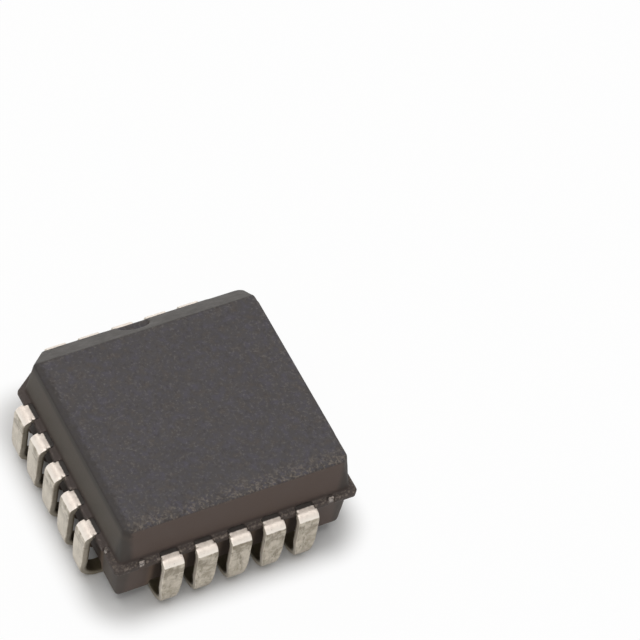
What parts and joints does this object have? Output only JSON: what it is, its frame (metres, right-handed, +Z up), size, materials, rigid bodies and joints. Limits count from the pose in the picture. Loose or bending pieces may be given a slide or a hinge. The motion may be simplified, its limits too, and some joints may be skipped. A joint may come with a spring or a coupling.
{
  "type": "leaded chip carrier",
  "caption": "Square moulded chip carrier with a bevelled index side and J-shaped leads folded under all four sides, for soldering flat on a board or seating in a socket.",
  "frame": {"origin": "centre of the lead pattern, on the board surface that the leads stand on", "axes": "+Z up from the board to the top face; +Y towards the bevelled side with the first lead; +X to the right of it seen from above, with the index corner between -X and +Y"},
  "size_m": [0.01, 0.01, 0.0043],
  "materials": {
    "epoxy": "matte moulded epoxy with a fine light speckle and worn edges",
    "plated_lead": "satin tin plating with faint scuffs",
    "frame_metal": "bare copper alloy",
    "adhesive": "silver-filled adhesive",
    "silicon": "polished chip surface",
    "gold_wire": "drawn gold wire"
  },
  "bodies": {
    "root": {"molded_body": "epoxy", "die_pad": "frame_metal", "die_attach": "adhesive", "die": "silicon", "lead_01": "plated_lead", "lead_02": "plated_lead", "lead_03": "plated_lead", "lead_04": "plated_lead", "lead_05": "plated_lead", "lead_06": "plated_lead", "lead_07": "plated_lead", "lead_08": "plated_lead", "lead_09": "plated_lead", "lead_10": "plated_lead", "lead_11": "plated_lead", "lead_12": "plated_lead", "lead_13": "plated_lead", "lead_14": "plated_lead", "lead_15": "plated_lead", "lead_16": "plated_lead", "lead_17": "plated_lead", "lead_18": "plated_lead", "lead_19": "plated_lead", "lead_20": "plated_lead", "bond_wire_01": "gold_wire", "bond_wire_02": "gold_wire", "bond_wire_03": "gold_wire", "bond_wire_04": "gold_wire", "bond_wire_05": "gold_wire", "bond_wire_06": "gold_wire", "bond_wire_07": "gold_wire", "bond_wire_08": "gold_wire", "bond_wire_09": "gold_wire", "bond_wire_10": "gold_wire", "bond_wire_11": "gold_wire", "bond_wire_12": "gold_wire", "bond_wire_13": "gold_wire", "bond_wire_14": "gold_wire", "bond_wire_15": "gold_wire", "bond_wire_16": "gold_wire", "bond_wire_17": "gold_wire", "bond_wire_18": "gold_wire", "bond_wire_19": "gold_wire", "bond_wire_20": "gold_wire"}
  },
  "joints": []
}
